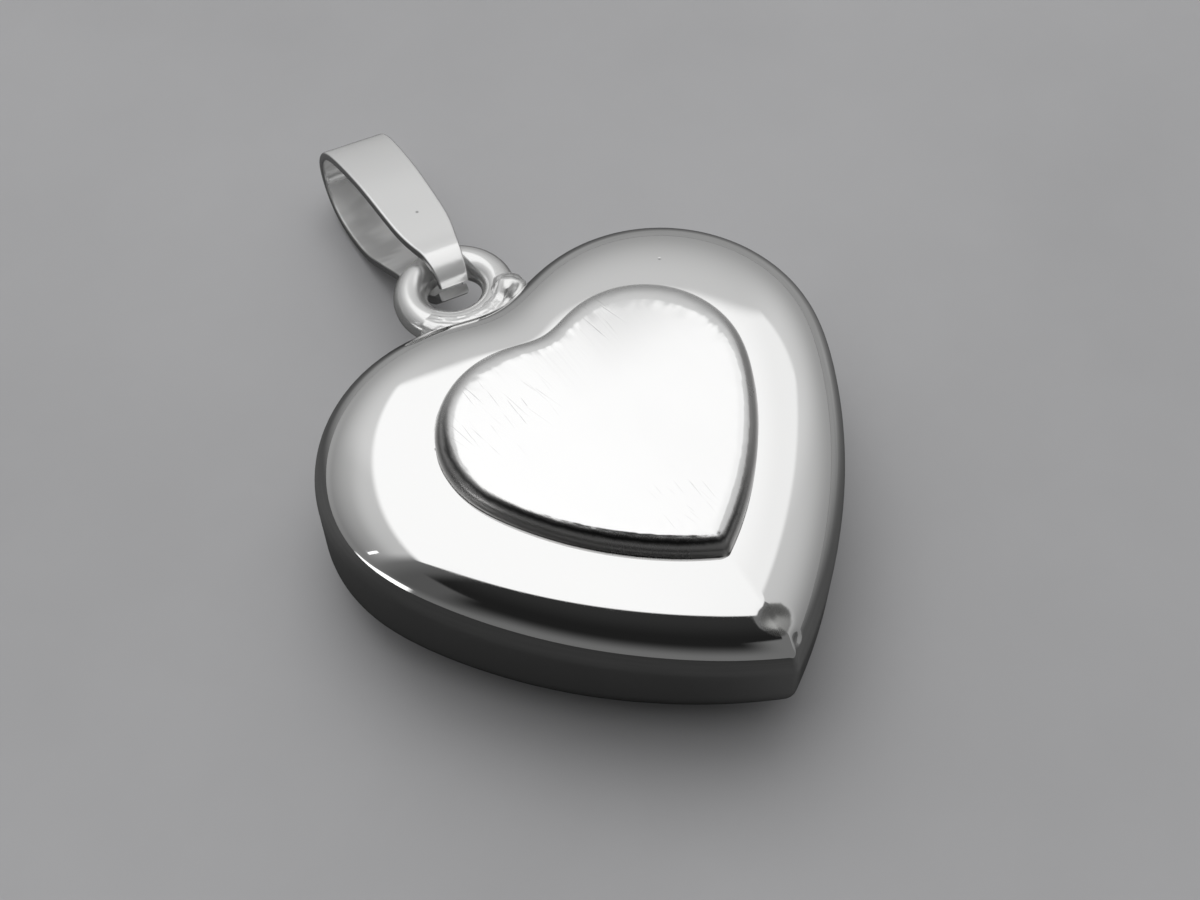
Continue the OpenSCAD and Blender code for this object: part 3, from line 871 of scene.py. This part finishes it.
def stripShare(desk, off, height, leftSide):
    strip = desk.band(off, stripLight["from"], stripLight["to"])
    thin = stripLight["rise"] * (1 - desk.smooth(off, *stripLight["thinTurn"]) * stripLight["thin"])
    strip = strip * (1 - desk.smooth(height - thin, *stripLight["edge"]))
    bar = 1 - desk.smooth(desk.one("ABSOLUTE", off - stripLight["barAt"]), *stripLight["barHalf"])
    bar = bar * desk.band(height, stripLight["barRise"], stripLight["barTop"])
    return (strip + bar) * leftSide


def buildSky():
    world = bpy.data.worlds.new("studio")
    world.use_nodes = True
    bpy.context.scene.world = world
    desk = Desk(world.node_tree)
    turned = desk.node("VectorRotate", {"rotation_type": "Z_AXIS"}, {
        "Vector": desk.node("TexCoord", out="Generated"), "Angle": math.radians(-camera["heading"])})
    side = desk.node("SeparateXYZ", None, {"Vector": turned})
    ahead, rise = desk.also(side, 1), desk.also(side, 2)
    turn = desk.node("Math", {"operation": "ARCTAN2"}, {0: side, 1: ahead})
    off = 180 - desk.one("ABSOLUTE", turn) * math.degrees(1)
    height = desk.one("ARCSINE", rise) * math.degrees(1)
    leftSide = 1 - desk.smooth(turn, -0.1, 0)
    box, boxTone = boxLight(desk, side, ahead, rise)
    wall = wallTone(desk, side, rise, off, height)
    front = frontTone(desk, turn, off, height, leftSide)
    right = desk.smooth(turn, 0, 0.1) * desk.smooth(height, *darkFront["rightRise"]) * darkFront["right"]
    grey = front + (wall - front) * desk.smooth(off - right, *darkFront["edge"])
    tone = grey * (1 - box) + box * boxTone
    tone = tone + stripShare(desk, off, height, leftSide) * stripLight["tone"]
    lit = desk.node("Background", None, {"Color": desk.grey(tone)})
    plain = desk.node("Background", None, {"Color": backdrop})
    seen = desk.node("LightPath", out="Is Camera Ray")
    shader = desk.node("MixShader", None, {0: seen, 1: lit, 2: plain})
    desk.node("OutputWorld", None, {"Surface": shader})


buildSky()

cameraData = bpy.data.cameras.new("camera")
cameraData.lens, cameraData.sensor_width = camera["lens"], camera["sensor"]
cameraData.clip_start = camera["nearest"]
view = bpy.data.objects.new("camera", cameraData)
view.location = Vector(camera["at"]) * mm + Vector((0, shiftY * mm, 0))
view.rotation_euler = (math.radians(camera["tilt"]), 0, math.radians(camera["heading"]))
bpy.context.scene.collection.objects.link(view)
bpy.context.scene.camera = view
bpy.context.scene.view_settings.view_transform = "Standard"
print("studio ready")
